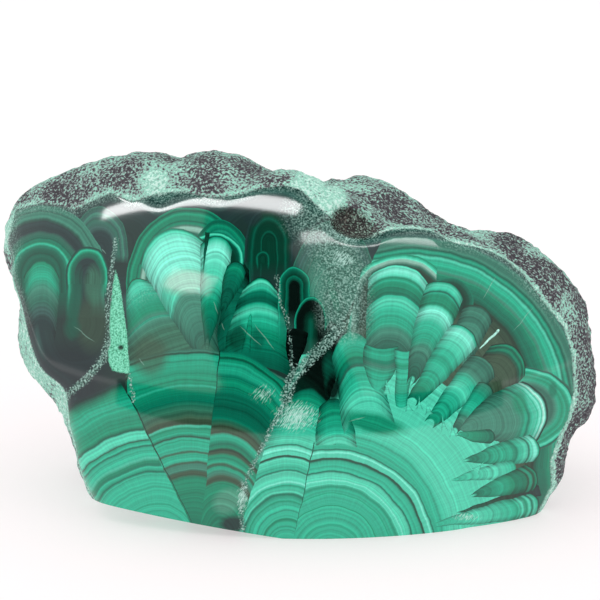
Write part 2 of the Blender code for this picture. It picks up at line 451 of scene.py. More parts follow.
normals = vertex_values("normal")
crest = np.clip(1.0 - np.abs(normals[:, 1] - CREST_FACING) / CREST_FACING, 0.0, 1.0)
thin_rind = np.clip((RIND_TOP - places[:, 1]) / RIND_FADE, 0.0, 1.0) * (normals[:, 1] < RIND_FACING)
thin_rind *= np.where(places[:, 0] > 0.0, RIGHT_RIND, 1.0)
light_crust = PLAIN_LIGHT + CREST_LIGHT * crest + MOTTLE_LIGHT * uneven(MOTTLE_SIZE)
light_crust += RIND_LIGHT * thin_rind
in_front = points[:, 1] < SEEN_TO_Y
for patch_u, patch_w, patch_reach in LIGHT_PATCHES:
    nearness = 1.0 - np.linalg.norm(places - np.array((patch_u, patch_w)), axis=1) / patch_reach
    light_crust = np.maximum(light_crust, np.clip(nearness * PATCH_STEEPNESS, 0.0, 1.0) * in_front)
rim_light = RIM_LIGHT + RIM_LIGHT_RIGHT * (places[:, 0] > RIGHT_RIM_FROM_U)
light_crust += np.where(np.abs(over - RIM_LINE) < RIM_LINE_HALF_WIDTH, rim_light, 0.0)
write_attribute("light_crust", np.clip(light_crust, 0.0, 1.0))

# Loose grains in the belt below the pocket, and sparser ones on the buffed edge of the upper rim.
BELT_DENSITY = 1.6
RIM_GRAINS_WIDTH = 1.8
RIM_GRAINS_MOST = 0.9
RIM_GRAINS_FROM_W = 2.0
RIM_GRAINS_FADE = 8.0
belt_grains = BELT_DENSITY * (1.0 - polyline_distance(places, CROWN_GRAINS) / CROWN_GRAINS_HALF_WIDTH)
rim_grains = np.clip(1.0 + over / RIM_GRAINS_WIDTH, 0.0, RIM_GRAINS_MOST)
rim_grains *= np.clip((places[:, 1] - RIM_GRAINS_FROM_W) / RIM_GRAINS_FADE, 0.0, 1.0)
write_attribute("crown_grains", np.clip(np.maximum(belt_grains, rim_grains), 0.0, 1.0))
in_pocket = ellipsoid_distance(points, POCKET_CENTRE, POCKET_RADII)
write_attribute("pocket", in_pocket)

# Relief of the natural skin, by size and rise in millimetres: fine grains, small warts, and low ridges
# round shallow hollows. It dies out at the polish and at the sawn base. The pocket is deepened. Edges
# sharper than this, as round the base, stay crisp.
SHARP_ANGLE = math.radians(50.0)
GRAIN_SIZE, GRAIN_RISE = 0.9, 0.16
WART_SIZE, WART_RISE = 2.2, 0.22
HOLLOW_SIZE, HOLLOW_DEPTH, RIDGE_RISE = 5.5, 1.3, 0.3
HOLLOW_FADE = 2.0
SKIN_EDGE = 0.1
BASE_FADE = 1.5
POCKET_DEEPENED = 1.5
skin_share = np.clip(over + SKIN_EDGE, 0.0, 1.0)
above_base = np.clip(points[:, 2] / BASE_FADE, 0.0, 1.0)
rough = (uneven(WART_SIZE) * WART_RISE + uneven(GRAIN_SIZE) * GRAIN_RISE) * skin_share
hollows = np.clip(over / HOLLOW_FADE, 0.0, 1.0) * (HOLLOW_DEPTH * np.abs(uneven(HOLLOW_SIZE)) - RIDGE_RISE)
relief = (rough - hollows) * above_base - recess - np.clip(-in_pocket, 0.0, POCKET_DEEPENED)
points = points + normals * relief[:, None] + shift
mesh.vertices.foreach_set("co", (points * MM).astype(np.float32).ravel())
mesh.update()
mesh.shade_smooth()
mesh.set_sharp_from_angle(angle=SHARP_ANGLE)

stone_piece = bpy.data.objects.new("polished_malachite_stone", mesh)
bpy.context.scene.collection.objects.link(stone_piece)

# Malachite stone, its finish. Basic copper carbonate that grew as radiating columns in thin layers,
# sanded and buffed on the dome to a wet gloss and left as it grew elsewhere. It gives the eye nested
# green bands with silky fibres across them, and a dull speckled black and green crust for skin.

# The colours of its layers: first the pure greens from dark to light, then the greyed and browned ones.
GREENS = {
    "black": "#06130F",
    "forest": "#053A2B",
    "bottle": "#065A46",
    "deep": "#057359",
    "emerald": "#0A8D6A",
    "jade": "#1AA683",
    "mint": "#2BB996",
    "aqua": "#50D4B2",
    "pale": "#80F0D6",
    "frost": "#B4F4E2",
    "sage": "#3C8670",
    "moss": "#2A6A58",
    "smoke": "#335C55",
    "slate": "#1E3636",
    "gloom": "#18282C",
    "olive": "#356F58",
    "brown": "#3A5440",
    "umber": "#1F3A2B",
    "ash": "#86B8A6",
    # milk is the colour of a painted reflection, not of a layer.
    "milk": "#8FBDA8",
}


def linear(hex_colour):
    """An sRGB hex colour as scene linear red, green, blue and an alpha of one."""
    channels = [int(hex_colour[at:at + 2], 16) / 255.0 for at in (1, 3, 5)]
    return tuple(c / 12.92 if c <= 0.04045 else ((c + 0.055) / 1.055) ** 2.4 for c in channels) + (1.0,)


malachite = bpy.data.materials.new("polished_malachite")
malachite.use_nodes = True
shader = malachite.node_tree.nodes["Principled BSDF"]


def add(kind, inputs=(), tree=malachite.node_tree, **settings):
    """Adds a node with its settings, and links or sets its inputs."""
    made = tree.nodes.new(kind if kind.startswith("Node") else "ShaderNode" + kind)
    for name, value in settings.items():
        setattr(made, name, value)
    for socket, value in dict(inputs).items():
        if isinstance(value, bpy.types.NodeSocket):
            tree.links.new(value, made.inputs[socket])
        else:
            made.inputs[socket].default_value = value
    return made


def open_group(name, takes, gives):
    """A new node group and its inputs, from its sockets' names. Those of vectors start with a capital."""
    made = bpy.data.node_groups.new(name, "ShaderNodeTree")
    for names, in_out in ((takes, "INPUT"), (gives, "OUTPUT")):
        for socket in names:
            kind = "NodeSocketVector" if socket[0].isupper() else "NodeSocketFloat"
            made.interface.new_socket(socket, in_out=in_out, socket_type=kind)
    return made, add("NodeGroupInput", tree=made).outputs


# The stone's own millimetres, then the plane on which the growth is drawn. It is gently bent, as real
# growth is, in long waves and short ones: the length of each wave and how far it swings.
object_place = add("TexCoord").outputs["Object"]
turned = add(
    "Mapping",
    {
        "Vector": object_place,
        "Location": (-shift[0], 0.0, -shift[1] * math.sin(TILT) - FACE_HEIGHT * math.cos(TILT)),
        "Rotation": (TILT, 0.0, 0.0),
        "Scale": (1.0 / MM, 1.0 / MM, 1.0 / MM),
    },
).outputs[0]
turned_parts = add("SeparateXYZ", {0: turned})
flat_face = add("CombineXYZ", {0: turned_parts.outputs[0], 1: turned_parts.outputs[2]}).outputs[0]
BENDS = ((5.0, 0.9), (0.9, 0.16))
MIDDLE_GREY = (0.5, 0.5, 0.5)
face = flat_face
for wave_length, swing in BENDS:
    bend = add("TexNoise", {"Vector": turned, "Scale": 1.0 / wave_length, "Detail": 1.0}).outputs["Color"]
    centred = add("VectorMath", {0: bend, 1: MIDDLE_GREY}, operation="SUBTRACT").outputs[0]
    swung = {0: centred, 1: (swing, swing, 0.0), 2: face}
    face = add("VectorMath", swung, operation="MULTIPLY_ADD").outputs[0]

# A column grew from its root to its cap in arched layers, which droop at its sides. Its bands are read from
# the cap down, each as millimetres below the cap and a colour. Swell says how much it bellies on its way
# from one half width to the other. An arch is a growth seen along its end: layers round a centre, with
# straight legs below it, and its rings are read from the centre out. Only what lies to the left of each
# line in keep is drawn. A later growth covers an earlier one.
Column = namedtuple("Column", "name root cap half_root half_cap droop bands keep swell", defaults=((), 1.0))
Arch = namedtuple("Arch", "name centre half_width height legs rings lean keep", defaults=(0.0, ()))

GROWTHS = (
    Arch("granular growth of the crown", (6.6, 8.0), 9.0, 17.0, 12.0, """
        0 moss, 8 sage, 12 moss, 15 smoke, 17 moss
    """),
    Arch("dark heart over the right arch", (-40.0, 19.0), 5.6, 8.6, 2.5, """
        0 slate, 3.6 slate, 4.6 smoke, 6 moss, 6.4 smoke, 7.2 sage, 7.6 smoke, 8.6 moss
    """),
    Arch("left lobe", (-51.8, 14.0), 12.8, 14.0, 8.6, """
        0 forest, 3 bottle, 5.4 bottle, 5.8 deep, 6.05 jade, 6.3 mint, 6.6 emerald, 7.2 deep, 7.6 bottle,
        8.4 moss, 8.9 slate, 10.6 slate, 11.2 moss, 11.6 sage, 12 moss, 12.4 sage, 12.8 moss, 13.4 sage,
        14 sage
    """),
    Column("dome of the left lobe", (-51.6, 3.0), (-51.8, 17.0), 2.8, 3.7, 3.4, """
        0 bottle, 0.7 emerald, 1.6 jade, 3.4 jade, 5.6 sage, 8 moss, 10 smoke, 12 slate
    """),
    Arch("right arch of the left lobe", (-42.5, 14.0), 4.3, 5.7, 4.6, """
        0 slate, 3.1 slate, 3.6 bottle, 4 deep, 4.5 emerald, 5 jade, 5.3 bottle, 5.7 slate
    """),
    # Its ash ring, 10.9 to 11.7 mm out, is a painted reflection along the top of the polish.
    Arch("wrap over the middle growth", (-22.4, 12.0), 12.4, 15.5, 8.0, """
        0 moss, 10.4 moss, 10.9 ash, 11.7 ash, 12 sage, 12.4 emerald, 12.9 bottle, 13.3 emerald,
        14.2 emerald, 14.8 bottle, 15.5 emerald
    """),
    Arch("wrap right of the middle growth", (-16.0, 15.8), 6.0, 9.2, 5.0, """
        0 bottle, 5.4 bottle, 6 emerald, 6.5 bottle, 7 jade, 7.4 deep, 8 emerald, 8.6 bottle, 9.2 deep
    """),
    Arch("dark green of the crown", (-6.4, 20.4), 4.8, 7.0, 9.0, """
        0 forest, 2 forest, 2.3 bottle, 2.6 forest, 4.2 forest, 4.8 bottle, 5.6 forest, 7 slate
    """),
    Arch("small ring of the crown", (-7.6, 17.4), 1.3, 1.3, 2.4, """
        0 forest, 0.8 forest, 1 deep, 1.15 bottle, 1.3 forest
    """),
    Column("dark green between the branches", (-13.0, -4.0), (-12.6, 17.4), 5.0, 2.4, 2.2, """
        0 forest, 2 black, 6 bottle, 14 deep, 21 forest
    """),
    Arch("line round the right branch", (-17.0, 16.6), 5.8, 6.1, 2.4, """
        0 forest, 4.4 forest, 5.2 bottle, 5.5 mint, 5.7 aqua, 5.85 jade, 6.1 bottle
    """),
    Column("lower left growth", (-26.0, -3.0), (-33.2, 13.4), 9.4, 1.6, 1.4, """
        0 umber, 0.5 jade, 1.4 aqua, 3.4 mint, 5 jade, 7.5 emerald, 8.6 sage, 8.9 mint, 9.3 sage, 12 olive,
        17 olive
    """, swell=0.0),
    Column("middle growth", (-17.8, -3.0), (-27.2, 22.9), 1.8, 7.2, 4.4, """
        0 moss, 0.5 jade, 0.9 aqua, 2 pale, 7.6 pale, 9 aqua, 12.6 aqua, 13.6 sage, 18 sage, 22 moss,
        26 olive
    """, swell=0.5),
    Column("right branch of the middle growth", (-18.4, 1.0), (-16.5, 22.0), 0.7, 3.2, 2.2, """
        0 forest, 0.5 jade, 1 aqua, 2 pale, 7 aqua, 10 mint, 12 jade, 14 emerald, 17 deep, 20.6 bottle
    """),
    Column("cleft in the middle growth", (-20.0, 10.0), (-18.6, 22.6), 0.03, 0.45, 0.0, """
        0 forest, 5 bottle, 8 sage
    """, swell=-0.8),
    Column("small dark branch", (-15.2, 7.6), (-12.2, 16.8), 0.7, 2.1, 1.6, """
        0 black, 0.4 deep, 1.5 emerald, 3 deep, 6 bottle, 9 bottle
    """),
    Column("branch by the ovals", (-8.8, -4.0), (-8.0, 13.7), 6.9, 2.3, 2.2, """
        0 black, 0.4 emerald, 0.8 aqua, 2 mint, 2.7 deep, 4.8 bottle, 5.3 jade, 6.4 aqua, 7.6 mint,
        9.2 jade, 11 emerald, 14 deep, 18 bottle
    """, swell=-0.6),
    Column("flame in the branch by the ovals", (-11.0, -1.6), (-9.9, 6.4), 1.0, 0.2, 0.4, """
        0 jade, 3 emerald, 7 deep
    """, swell=-0.4),
    Arch("first oval", (-1.3, 11.4), 3.2, 4.4, 11.0, """
        0 black, 1.4 black, 2 bottle, 2.3 deep, 2.6 forest, 3.6 bottle, 3.9 deep, 4.15 jade, 4.4 forest
    """),
    Arch("second oval", (1.9, 4.8), 3.2, 4.9, 8.0, """
        0 bottle, 1 forest, 2.4 black, 4.1 black, 4.4 deep, 4.7 jade, 4.9 forest
    """),
    Column("black gap under the ovals", (-1.5, -5.0), (-0.6, 3.4), 0.1, 2.2, 0.6, """
        0 black, 9 black
    """),
    Arch("lower middle growth, left lobe", (-21.6, -39.0), 34.6, 38.4, 3.0, """
        0 deep, 12.8 emerald, 13.4 brown, 14 brown, 14.4 sage, 15.3 sage, 15.8 brown, 16.2 mint, 17.4 jade,
        17.9 brown, 18.3 mint, 20.1 jade, 20.5 mint, 20.9 umber, 21.4 jade, 22.8 emerald, 23.2 aqua,
        23.5 brown, 24.4 brown, 25.6 olive, 28 deep, 30.8 emerald, 31.2 mint, 31.5 emerald, 36.4 jade,
        37.2 jade, 37.6 forest, 38 sage, 38.4 moss
    """, keep=(((-33.7, -2.0), (-34.7, -12.0)),)),
    Arch("lower middle growth, right lobe", (-15.8, -39.0), 22.6, 38.0, 3.0, """
        0 deep, 11.8 emerald, 12.4 brown, 13.2 brown, 13.8 sage, 14.8 jade, 15.4 brown, 16 jade,
        17.2 emerald, 17.8 brown, 18.4 umber, 18.9 emerald, 19.4 deep, 20.6 jade, 21.3 mint, 21.8 brown,
        23 brown, 24.6 deep, 27 bottle, 30 deep, 31.4 emerald, 32.4 emerald, 33 deep, 34 jade, 35.4 jade,
        36.2 emerald, 36.6 forest, 37 emerald, 38 deep
    """, keep=(((-16.0, 0.0), (-19.2, -30.0)),)),
    Column("crack in the lower middle growth", (-18.2, -20.0), (-16.1, -0.8), 0.03, 0.1, 0.0, """
        0 forest, 10 bottle
    """),
    Arch("lower left growth of the base", (-28.5, -39.5), 33.0, 33.0, 3.0, """
        0 mint, 4 mint, 4.3 jade, 4.6 mint, 7.6 mint, 7.9 jade, 8.2 mint, 14.2 mint, 14.6 bottle, 15 jade,
        15.5 mint, 15.8 deep, 16.6 emerald, 17.1 aqua, 17.5 mint, 19.3 mint, 19.7 bottle, 20 mint,
        20.6 jade, 20.9 umber, 21.2 aqua, 22.8 aqua, 23.2 bottle, 23.7 emerald, 28.4 jade, 28.8 mint,
        29.2 jade, 31 emerald, 32 bottle, 33 slate
    """, keep=(((-21.4, -36.4), (-34.4, -10.0)),)),
    Column("crack between the base growths", (-21.2, -36.0), (-34.4, -9.6), 0.06, 0.12, 0.0, """
        0 forest, 29.6 bottle
    """),
    Arch("outer wrap, right", (21.9, -12.7), 34.6, 34.6, 30.0, """
        0 brown, 22 brown, 24.4 umber, 25 bottle, 25.6 deep, 26.8 deep, 27.5 emerald, 28 sage, 28.6 jade,
        29.6 jade, 30.1 mint, 30.5 aqua, 30.9 deep, 31.5 jade, 32 bottle, 32.6 sage, 33.2 moss, 33.8 sage,
        34.6 smoke
    """, keep=(((17.5, 24.0), (8.0, 4.0)),)),
    Arch("spray over the big fan", (7.0, -39.0), 38.0, 38.0, 2.0, """
        0 aqua, 19 mint, 21 mint, 23 aqua, 38 aqua
    """, keep=(((-2.0, -8.0), (-12.0, -36.0)),)),
    Column("dark ground by the seam", (-3.0, -12.0), (8.0, 4.0), 9.6, 3.6, 0.4, """
        0 forest, 1 black, 12 black, 19 forest
    """, keep=(((1.2, -3.2), (-3.0, -10.6)),)),
    Column("small middle growth", (-0.6, -23.0), (2.2, -8.4), 8.0, 2.4, 1.8, """
        0 forest, 0.8 deep, 2.2 emerald, 4 jade, 7 mint, 13 aqua
    """, keep=(((-2.4, -8.0), (-7.6, -20.0)),), swell=-0.5),
    Column("small middle growth, right branch", (7.0, -19.6), (6.3, -10.4), 4.0, 2.5, 1.6, """
        0 forest, 0.6 deep, 2 emerald, 5 jade, 7 mint, 9 aqua
    """, swell=-0.5),
    Column("growth by the seam", (12.9, -13.2), (9.6, 2.9), 5.0, 3.9, 3.8, """
        0 black, 0.4 jade, 2 mint, 3.4 jade, 5 emerald, 6.6 deep, 7.2 moss, 7.6 mint, 8.4 jade, 11 mint,
        13 aqua, 15.6 aqua
    """, swell=-0.4),
    Arch("big fan, left lobe", (-2.8, -41.0), 16.8, 21.6, 2.0, """
        0 mint, 4.7 mint, 5 jade, 5.3 mint, 6.6 emerald, 6.9 mint, 10 mint, 10.3 emerald, 10.6 mint,
        11.7 deep, 12 aqua, 13.2 jade, 13.5 mint, 13.9 pale, 14.2 aqua, 15.8 aqua, 16.2 bottle, 16.5 mint,
        18.7 aqua, 18.9 bottle, 19.2 umber, 19.4 aqua, 20.2 aqua, 20.5 pale, 21 aqua, 21.3 bottle,
        21.6 mint
    """, keep=(((-6.4, -17.6), (-12.0, -36.4)),)),
    Arch("big fan, right lobe", (6.0, -41.5), 21.9, 21.9, 2.0, """
        0 mint, 5.7 mint, 6 jade, 6.3 mint, 9.5 mint, 9.7 emerald, 10 mint, 11.9 mint, 12.1 emerald,
        12.4 mint, 13.7 jade, 14 aqua, 14.6 aqua, 14.8 pale, 15 aqua, 16.1 aqua, 16.4 bottle, 16.7 mint,
        18.5 mint, 18.8 bottle, 19.1 umber, 19.3 aqua, 20 aqua, 20.3 pale, 20.6 aqua, 20.9 bottle,
        21.2 mint, 21.6 jade, 21.9 mint
    """, keep=(((2.7, -19.4), (-1.2, -37.2)),)),
    Column("crack in the big fan", (-1.2, -37.0), (2.8, -19.2), 0.03, 0.1, 0.0, """
        0 bottle, 18.2 deep
    """),
    Arch("outer lobe, right", (43.6, -12.6), 8.6, 11.4, 2.0, """
        0 moss, 6.6 moss, 7 sage, 8 jade, 8.4 emerald, 9.2 jade, 9.6 emerald, 10 jade, 10.4 aqua, 10.7 mint,
        10.9 bottle, 11.4 moss
    """, lean=-90.0),
    Arch("wrap over the high growth", (19.8, 8.4), 10.8, 9.8, 8.0, """
        0 umber, 7.3 umber, 7.9 moss, 8.4 ash, 8.7 ash, 9 aqua, 9.4 jade, 9.8 emerald
    """, keep=(((11.8, 14.0), (9.4, 4.0)), ((25.0, -2.0), (27.6, 18.0)))),
    Arch("halo of the second growth", (29.4, 8.4), 5.0, 5.2, 4.0, """
        0 forest, 3.8 forest, 4.6 bottle, 5.2 deep
    """),
    Column("grey growth", (30.8, -3.0), (36.0, 7.8), 2.8, 3.2, 1.8, """
        0 umber, 0.5 moss, 1.2 sage, 3 moss, 5 sage, 8 moss, 11 sage
    """),
    Column("brown growth", (34.0, -10.8), (43.2, -0.8), 2.6, 4.6, 2.8, """
        0 black, 0.5 emerald, 1 bottle, 1.5 emerald, 2 bottle, 2.8 brown, 8 brown, 13 smoke
    """),
    Column("high growth", (17.6, -1.6), (20.0, 16.2), 4.6, 6.2, 3.6, """
        0 forest, 0.3 aqua, 1.2 pale, 2.2 aqua, 2.6 emerald, 3.2 jade, 3.8 emerald, 6 deep, 6.4 mint,
        7 aqua, 9 mint, 11.6 jade, 13.4 sage, 15.6 moss, 18 bottle
    """),
    Column("left tooth under the high growth", (15.2, -9.2), (16.0, -0.4), 0.5, 3.4, -0.7, """
        0 forest, 0.3 jade, 2.4 jade, 3 deep, 3.8 sage, 5.2 jade, 8.6 mint
    """, swell=1.4),
    Column("right tooth under the high growth", (20.1, -12.4), (20.4, -1.0), 1.1, 1.7, -0.4, """
        0 forest, 0.3 mint, 2.4 mint, 3 emerald, 4 mint, 8 jade, 11.2 mint
    """),
    Column("second growth", (22.0, -6.4), (29.4, 12.6), 1.0, 4.1, 2.0, """
        0 forest, 0.4 jade, 0.8 aqua, 2 mint, 2.35 bottle, 2.7 jade, 3.2 emerald, 5 emerald, 5.4 aqua,
        6.4 pale, 9 mint, 12 jade, 14 sage, 17 moss, 20 bottle
    """),
    Column("fourth growth", (26.2, -15.0), (37.2, -3.0), 1.4, 3.2, 1.4, """
        0 umber, 0.4 sage, 0.8 moss, 4.2 sage, 5.6 mint, 7.6 aqua, 9.8 mint, 12 jade, 14 jade, 16 emerald
    """),
    Column("third growth", (22.7, -10.4), (33.4, 3.3), 1.3, 3.4, 1.4, """
        0 forest, 0.5 mint, 1.2 pale, 4 aqua, 6.4 mint, 8.4 jade, 10 mint, 12 jade, 15 emerald, 17.2 deep
    """, swell=0.8),
    Column("fifth growth", (30.7, -16.6), (37.4, -7.8), 0.8, 1.8, 0.8, """
        0 umber, 0.4 sage, 3 jade, 6 mint, 8.2 sage, 10.8 bottle
    """),
    Column("big right growth", (31.8, -16.6), (49.0, -12.0), 0.4, 5.8, 3.4, """
        0 black, 0.4 bottle, 0.7 pale, 1.1 frost, 1.4 mint, 1.8 pale, 2.3 jade, 2.7 aqua, 3.5 mint,
        4.2 deep, 4.8 jade, 6.4 sage, 18 sage
    """, swell=1.6),
    Column("leaf under the big right growth", (31.2, -17.6), (38.6, -18.3), 0.3, 1.5, 1.0, """
        0 forest, 0.5 deep, 4 emerald, 7.4 jade
    """),
    Column("sixth growth", (33.0, -22.8), (47.6, -20.0), 0.4, 2.8, 1.5, """
        0 black, 0.4 jade, 0.8 pale, 1.8 aqua, 2.2 bottle, 2.7 aqua, 4.2 mint, 4.7 deep, 5.4 jade, 9 jade,
        14 deep
    """),
    Column("seventh growth", (30.4, -26.6), (43.0, -24.2), 0.2, 1.7, 1.0, """
        0 emerald, 0.5 mint, 4 aqua, 12.4 mint
    """),
    Column("dark cleft low on the right", (31.0, -33.4), (47.6, -29.0), 0.1, 1.1, 0.0, """
        0 slate, 6 umber, 16 bottle
    """),
    Column("eighth growth", (34.4, -29.8), (47.2, -25.8), 0.4, 2.8, 1.6, """
        0 black, 0.4 emerald, 1 umber, 1.5 jade, 2.1 umber, 2.6 emerald, 3.2 deep, 5.2 emerald, 7 jade,
        12.6 deep
    """),
    Column("lowest right growth", (27.6, -35.6), (47.6, -31.6), 0.5, 2.3, 1.2, """
        0 black, 0.4 jade, 0.9 aqua, 1.4 deep, 1.9 aqua, 2.5 emerald, 3.2 aqua, 4.4 jade, 5.4 mint, 12 aqua,
        20 mint
    """),
    Column("white sliver", (35.6, -0.6), (39.4, 3.1), 0.1, 0.27, 0.3, """
        0 frost, 5.2 frost
    """),
)

# The spray's own teeth, which bite into the roots of the columns, each from its foot to its tip.
SPRAY_TEETH = (
    ((17.2, -10.0), (17.0, -6.9)), ((21.6, -13.4), (21.4, -10.4)), ((23.6, -13.2), (23.5, -9.8)),
    ((25.4, -13.8), (25.0, -10.9)), ((28.6, -17.6), (28.0, -13.9)), ((30.2, -18.4), (29.9, -15.2)),
    ((34.6, -25.2), (36.4, -23.2)),
)
GROWTHS += tuple(
    Column("tooth of the spray", foot, tip, 0.95, 0.05, 0.0, "0 mint, 0.5 aqua, 2.6 aqua")
    for foot, tip in SPRAY_TEETH
)

# Clouds in the stone, soft at the edge, where one growth shades darker, browner or greener. Some stand for
# light
# instead: a painted reflection on the middle growth and painted shade by the seam. Each leans to the left by
# its degrees.
SoftTint = namedtuple("SoftTint", "name centre half_width half_height lean colour strength")
SOFT_TINTS = (
    # A painted reflection: a pale patch where the window shows in the polish.
    SoftTint("painted reflection on the middle growth", (-23.0, 12.6), 5.6, 3.0, 6.0, "milk", 0.7),
    SoftTint("bowl of the left lobe", (-46.4, -6.0), 10.0, 8.0, 0.0, "gloom", 0.9),
    SoftTint("brown haze in the left lobe", (-41.4, 4.6), 4.0, 7.0, 0.0, "brown", 0.55),
    SoftTint("olive core of the right arch", (-41.3, 12.0), 2.2, 4.6, 0.0, "olive", 0.8),
    SoftTint("teal strip in the left lobe", (-45.0, 8.6), 1.7, 8.0, -6.0, "bottle", 0.8),
    SoftTint("teal end of the strip", (-45.4, 3.2), 2.2, 2.6, 0.0, "bottle", 0.6),
    SoftTint("shade left of the left lobe", (-55.6, 4.0), 3.0, 10.0, 14.0, "gloom", 0.8),
    SoftTint("brown foot of the lower left growth", (-30.0, -2.0), 4.4, 4.6, 0.0, "brown", 0.7),
    SoftTint("dark corner of the crown", (-9.6, 25.4), 2.4, 1.8, 0.0, "slate", 0.9),
    SoftTint("dark strip by the middle growth", (-15.4, 5.0), 1.8, 7.0, 4.0, "bottle", 0.75),
    SoftTint("left hollow by the ovals", (-12.6, 1.6), 2.0, 3.4, -8.0, "forest", 0.75),
    SoftTint("right hollow by the ovals", (-8.6, 1.4), 1.5, 2.8, 12.0, "bottle", 0.7),
    SoftTint("green streak of the crown", (6.6, 10.0), 1.0, 4.6, 14.0, "emerald", 0.7),
    # Painted shade down the left side of the growth by the seam; the black cloud after it also fills the
    # dark corner there.
    SoftTint("painted shade on the side of the growth by the seam", (6.2, -6.6), 1.9, 6.4, 8.0, "bottle", 0.7),
    SoftTint("dark corner by the seam", (6.2, -8.4), 1.6, 3.0, 0.0, "black", 0.95),
    SoftTint("emerald layer over the fan", (14.4, -15.4), 8.0, 2.5, -12.0, "emerald", 0.95),
    SoftTint("green spot in the outer lobe", (50.2, -8.9), 1.1, 2.0, 0.0, "deep", 0.8),
    SoftTint("green spot in the big right growth", (43.5, -11.3), 1.9, 2.8, 0.0, "emerald", 0.8),
    SoftTint("pale foot of the lower middle growth", (-14.6, -31.0), 3.6, 3.0, 30.0, "ash", 0.28),
    SoftTint("dark foot by the seam", (-13.4, -35.6), 3.0, 2.0, 0.0, "gloom", 0.9),
)

# Old scratches in the polish, each from one end to the other.
SCRATCHES = (
    ((-39.8, 19.0), (-38.8, 18.0)), ((-45.4, 4.0), (-40.6, 0.6)), ((-17.4, 9.0), (-16.4, 6.0)),
    ((-15.8, 4.6), (-15.0, 3.0)), ((-12.4, 4.0), (-7.6, 0.0)), ((-32.0, -2.4), (-31.0, -4.0)),
    ((36.0, 9.0), (39.0, 14.0)), ((42.0, 2.6), (46.4, 7.8)), ((4.6, 12.2), (11.6, 9.6)),
    ((9.4, -15.0), (13.0, -14.0)), ((-9.4, 4.6), (-5.0, -1.0)),
)


def layers_of(listed):
    """Growth layers from their list: millimetres and the linear colour there."""
    layers = [layer.split() for layer in listed.split(",")]
    return [(float(far), linear(GREENS[colour])) for far, colour in layers]


def no_ink(colour):
    return (*colour[:3], 0.0)


def set_stops(ramp, stops):
    """Gives a colour ramp these stops, in rising order, each as its position and a linear colour."""
    first, *between, last = stops
    elements = ramp.color_ramp.elements
    for element, (position, colour) in zip(elements, (first, last)):
        element.position = position
        element.color = colour
    for position, colour in between:
        elements.new(position).color = colour
    return ramp.outputs["Color"]


# A band keeps this much clear of a ramp's ends, past which a growth has no ink.
RAMP_END = 0.006


def within_ramp(stops):
    return [(min(max(share, RAMP_END), 1.0 - RAMP_END), colour) for share, colour in stops]


def inside(mask, line):
    """Keeps the mask only to the left of a line on the face."""
    (from_u, from_w), (to_u, to_w) = line
    left = Vector((from_w - to_w, to_u - from_u, 0.0)).normalized()
    across = add("VectorMath", {0: face, 1: left}, operation="DOT_PRODUCT").outputs["Value"]
    limit = left.dot(Vector((from_u, from_w, 0.0)))
    side = add("Math", {0: across, 1: limit}, operation="GREATER_THAN").outputs[0]
    return add("Math", {0: mask, 1: side}, operation="MULTIPLY").outputs[0]


def lay(painted, bands, grain, mask, keep):
    """Lays a growth's colour, and where in the growth a point is, over those that are painted already."""
    mask = add("Math", {0: mask, 1: bands.outputs["Alpha"]}, operation="MINIMUM").outputs[0]
    for line in keep:
        mask = inside(mask, line)
    colour = add("Mix", {0: mask, 6: painted[0], 7: bands.outputs["Color"]}, data_type="RGBA").outputs[2]
    place = add("Mix", {0: mask, 4: painted[1], 5: grain}, data_type="VECTOR").outputs[1]
    return colour, place


OWN_PLACE = ("Face", "Across", "Along", "left", "foot")


def own_axes(centre, turn, scale):
    """What a growth's form needs to read its own place: the face, its two axes and where each starts."""
    across = Vector((math.cos(turn), math.sin(turn), 0.0)) / scale[0]
    along = Vector((-math.sin(turn), math.cos(turn), 0.0)) / scale[1]
    middle = Vector((*centre, 0.0))
    return dict(zip(OWN_PLACE, (face, across, along, -across.dot(middle), -along.dot(middle))))


def own_place(form, given):
    """Inside a form: how far a point is along the growth's two axes."""
    across, along = (
        add("VectorMath", {0: given["Face"], 1: given[axis]}, form, operation="DOT_PRODUCT").outputs["Value"]
        for axis in ("Across", "Along")
    )
    across = add("Math", {0: across, 1: given["left"]}, form).outputs[0]
    along = add("Math", {0: along, 1: given["foot"]}, form).outputs[0]
    return across, along


def far_from(form, across, along):
    """Inside a form: the length of the line to a place."""
    square = add("Math", {0: across, 1: across}, form, operation="MULTIPLY").outputs[0]
    square = add("Math", {0: along, 1: along, 2: square}, form, operation="MULTIPLY_ADD").outputs[0]
    return add("Math", {0: square}, form, operation="SQRT").outputs[0]


# The form of a column. Its own place is millimetres across and shares along, and its half width there is
# root + slope * along + bow * along * along. Its layers droop by this power of the share across. The
# grain's first number is how deep a layer lies, and growths are spaced so that no two of them match.
THINNEST = 0.01
DROOP_POWER = 2.2
GROWTH_SPACING = 41.0
column_form, given = open_group(
    "growth_column",
    OWN_PLACE + ("root", "slope", "bow", "droop", "length", "serial"),
    ("layer", "within", "Grain"),
)
across, along = own_place(column_form, given)
bowed = {0: along, 1: given["bow"], 2: given["slope"]}
half = add("Math", bowed, column_form, operation="MULTIPLY_ADD").outputs[0]
half = add("Math", {0: along, 1: half, 2: given["root"]}, column_form, operation="MULTIPLY_ADD").outputs[0]
half = add("Math", {0: half, 1: THINNEST}, column_form, operation="MAXIMUM").outputs[0]
share = add("Math", {0: across, 1: half}, column_form, operation="DIVIDE").outputs[0]
size = add("Math", {0: share}, column_form, operation="ABSOLUTE").outputs[0]
arch = add("Math", {0: size, 1: DROOP_POWER}, column_form, operation="POWER").outputs[0]
layer = add("Math", {0: arch, 1: given["droop"], 2: along}, column_form, operation="MULTIPLY_ADD").outputs[0]
within = add("Math", {0: size, 1: 1.0}, column_form, operation="LESS_THAN").outputs[0]
spaced = {0: layer, 1: given["length"], 2: given["serial"]}
deep = add("Math", spaced, column_form, operation="MULTIPLY_ADD").outputs[0]
grain = add("CombineXYZ", {0: deep, 1: across, 2: arch}, column_form).outputs[0]
add("NodeGroupOutput", {"layer": layer, "within": within, "Grain": grain}, column_form)


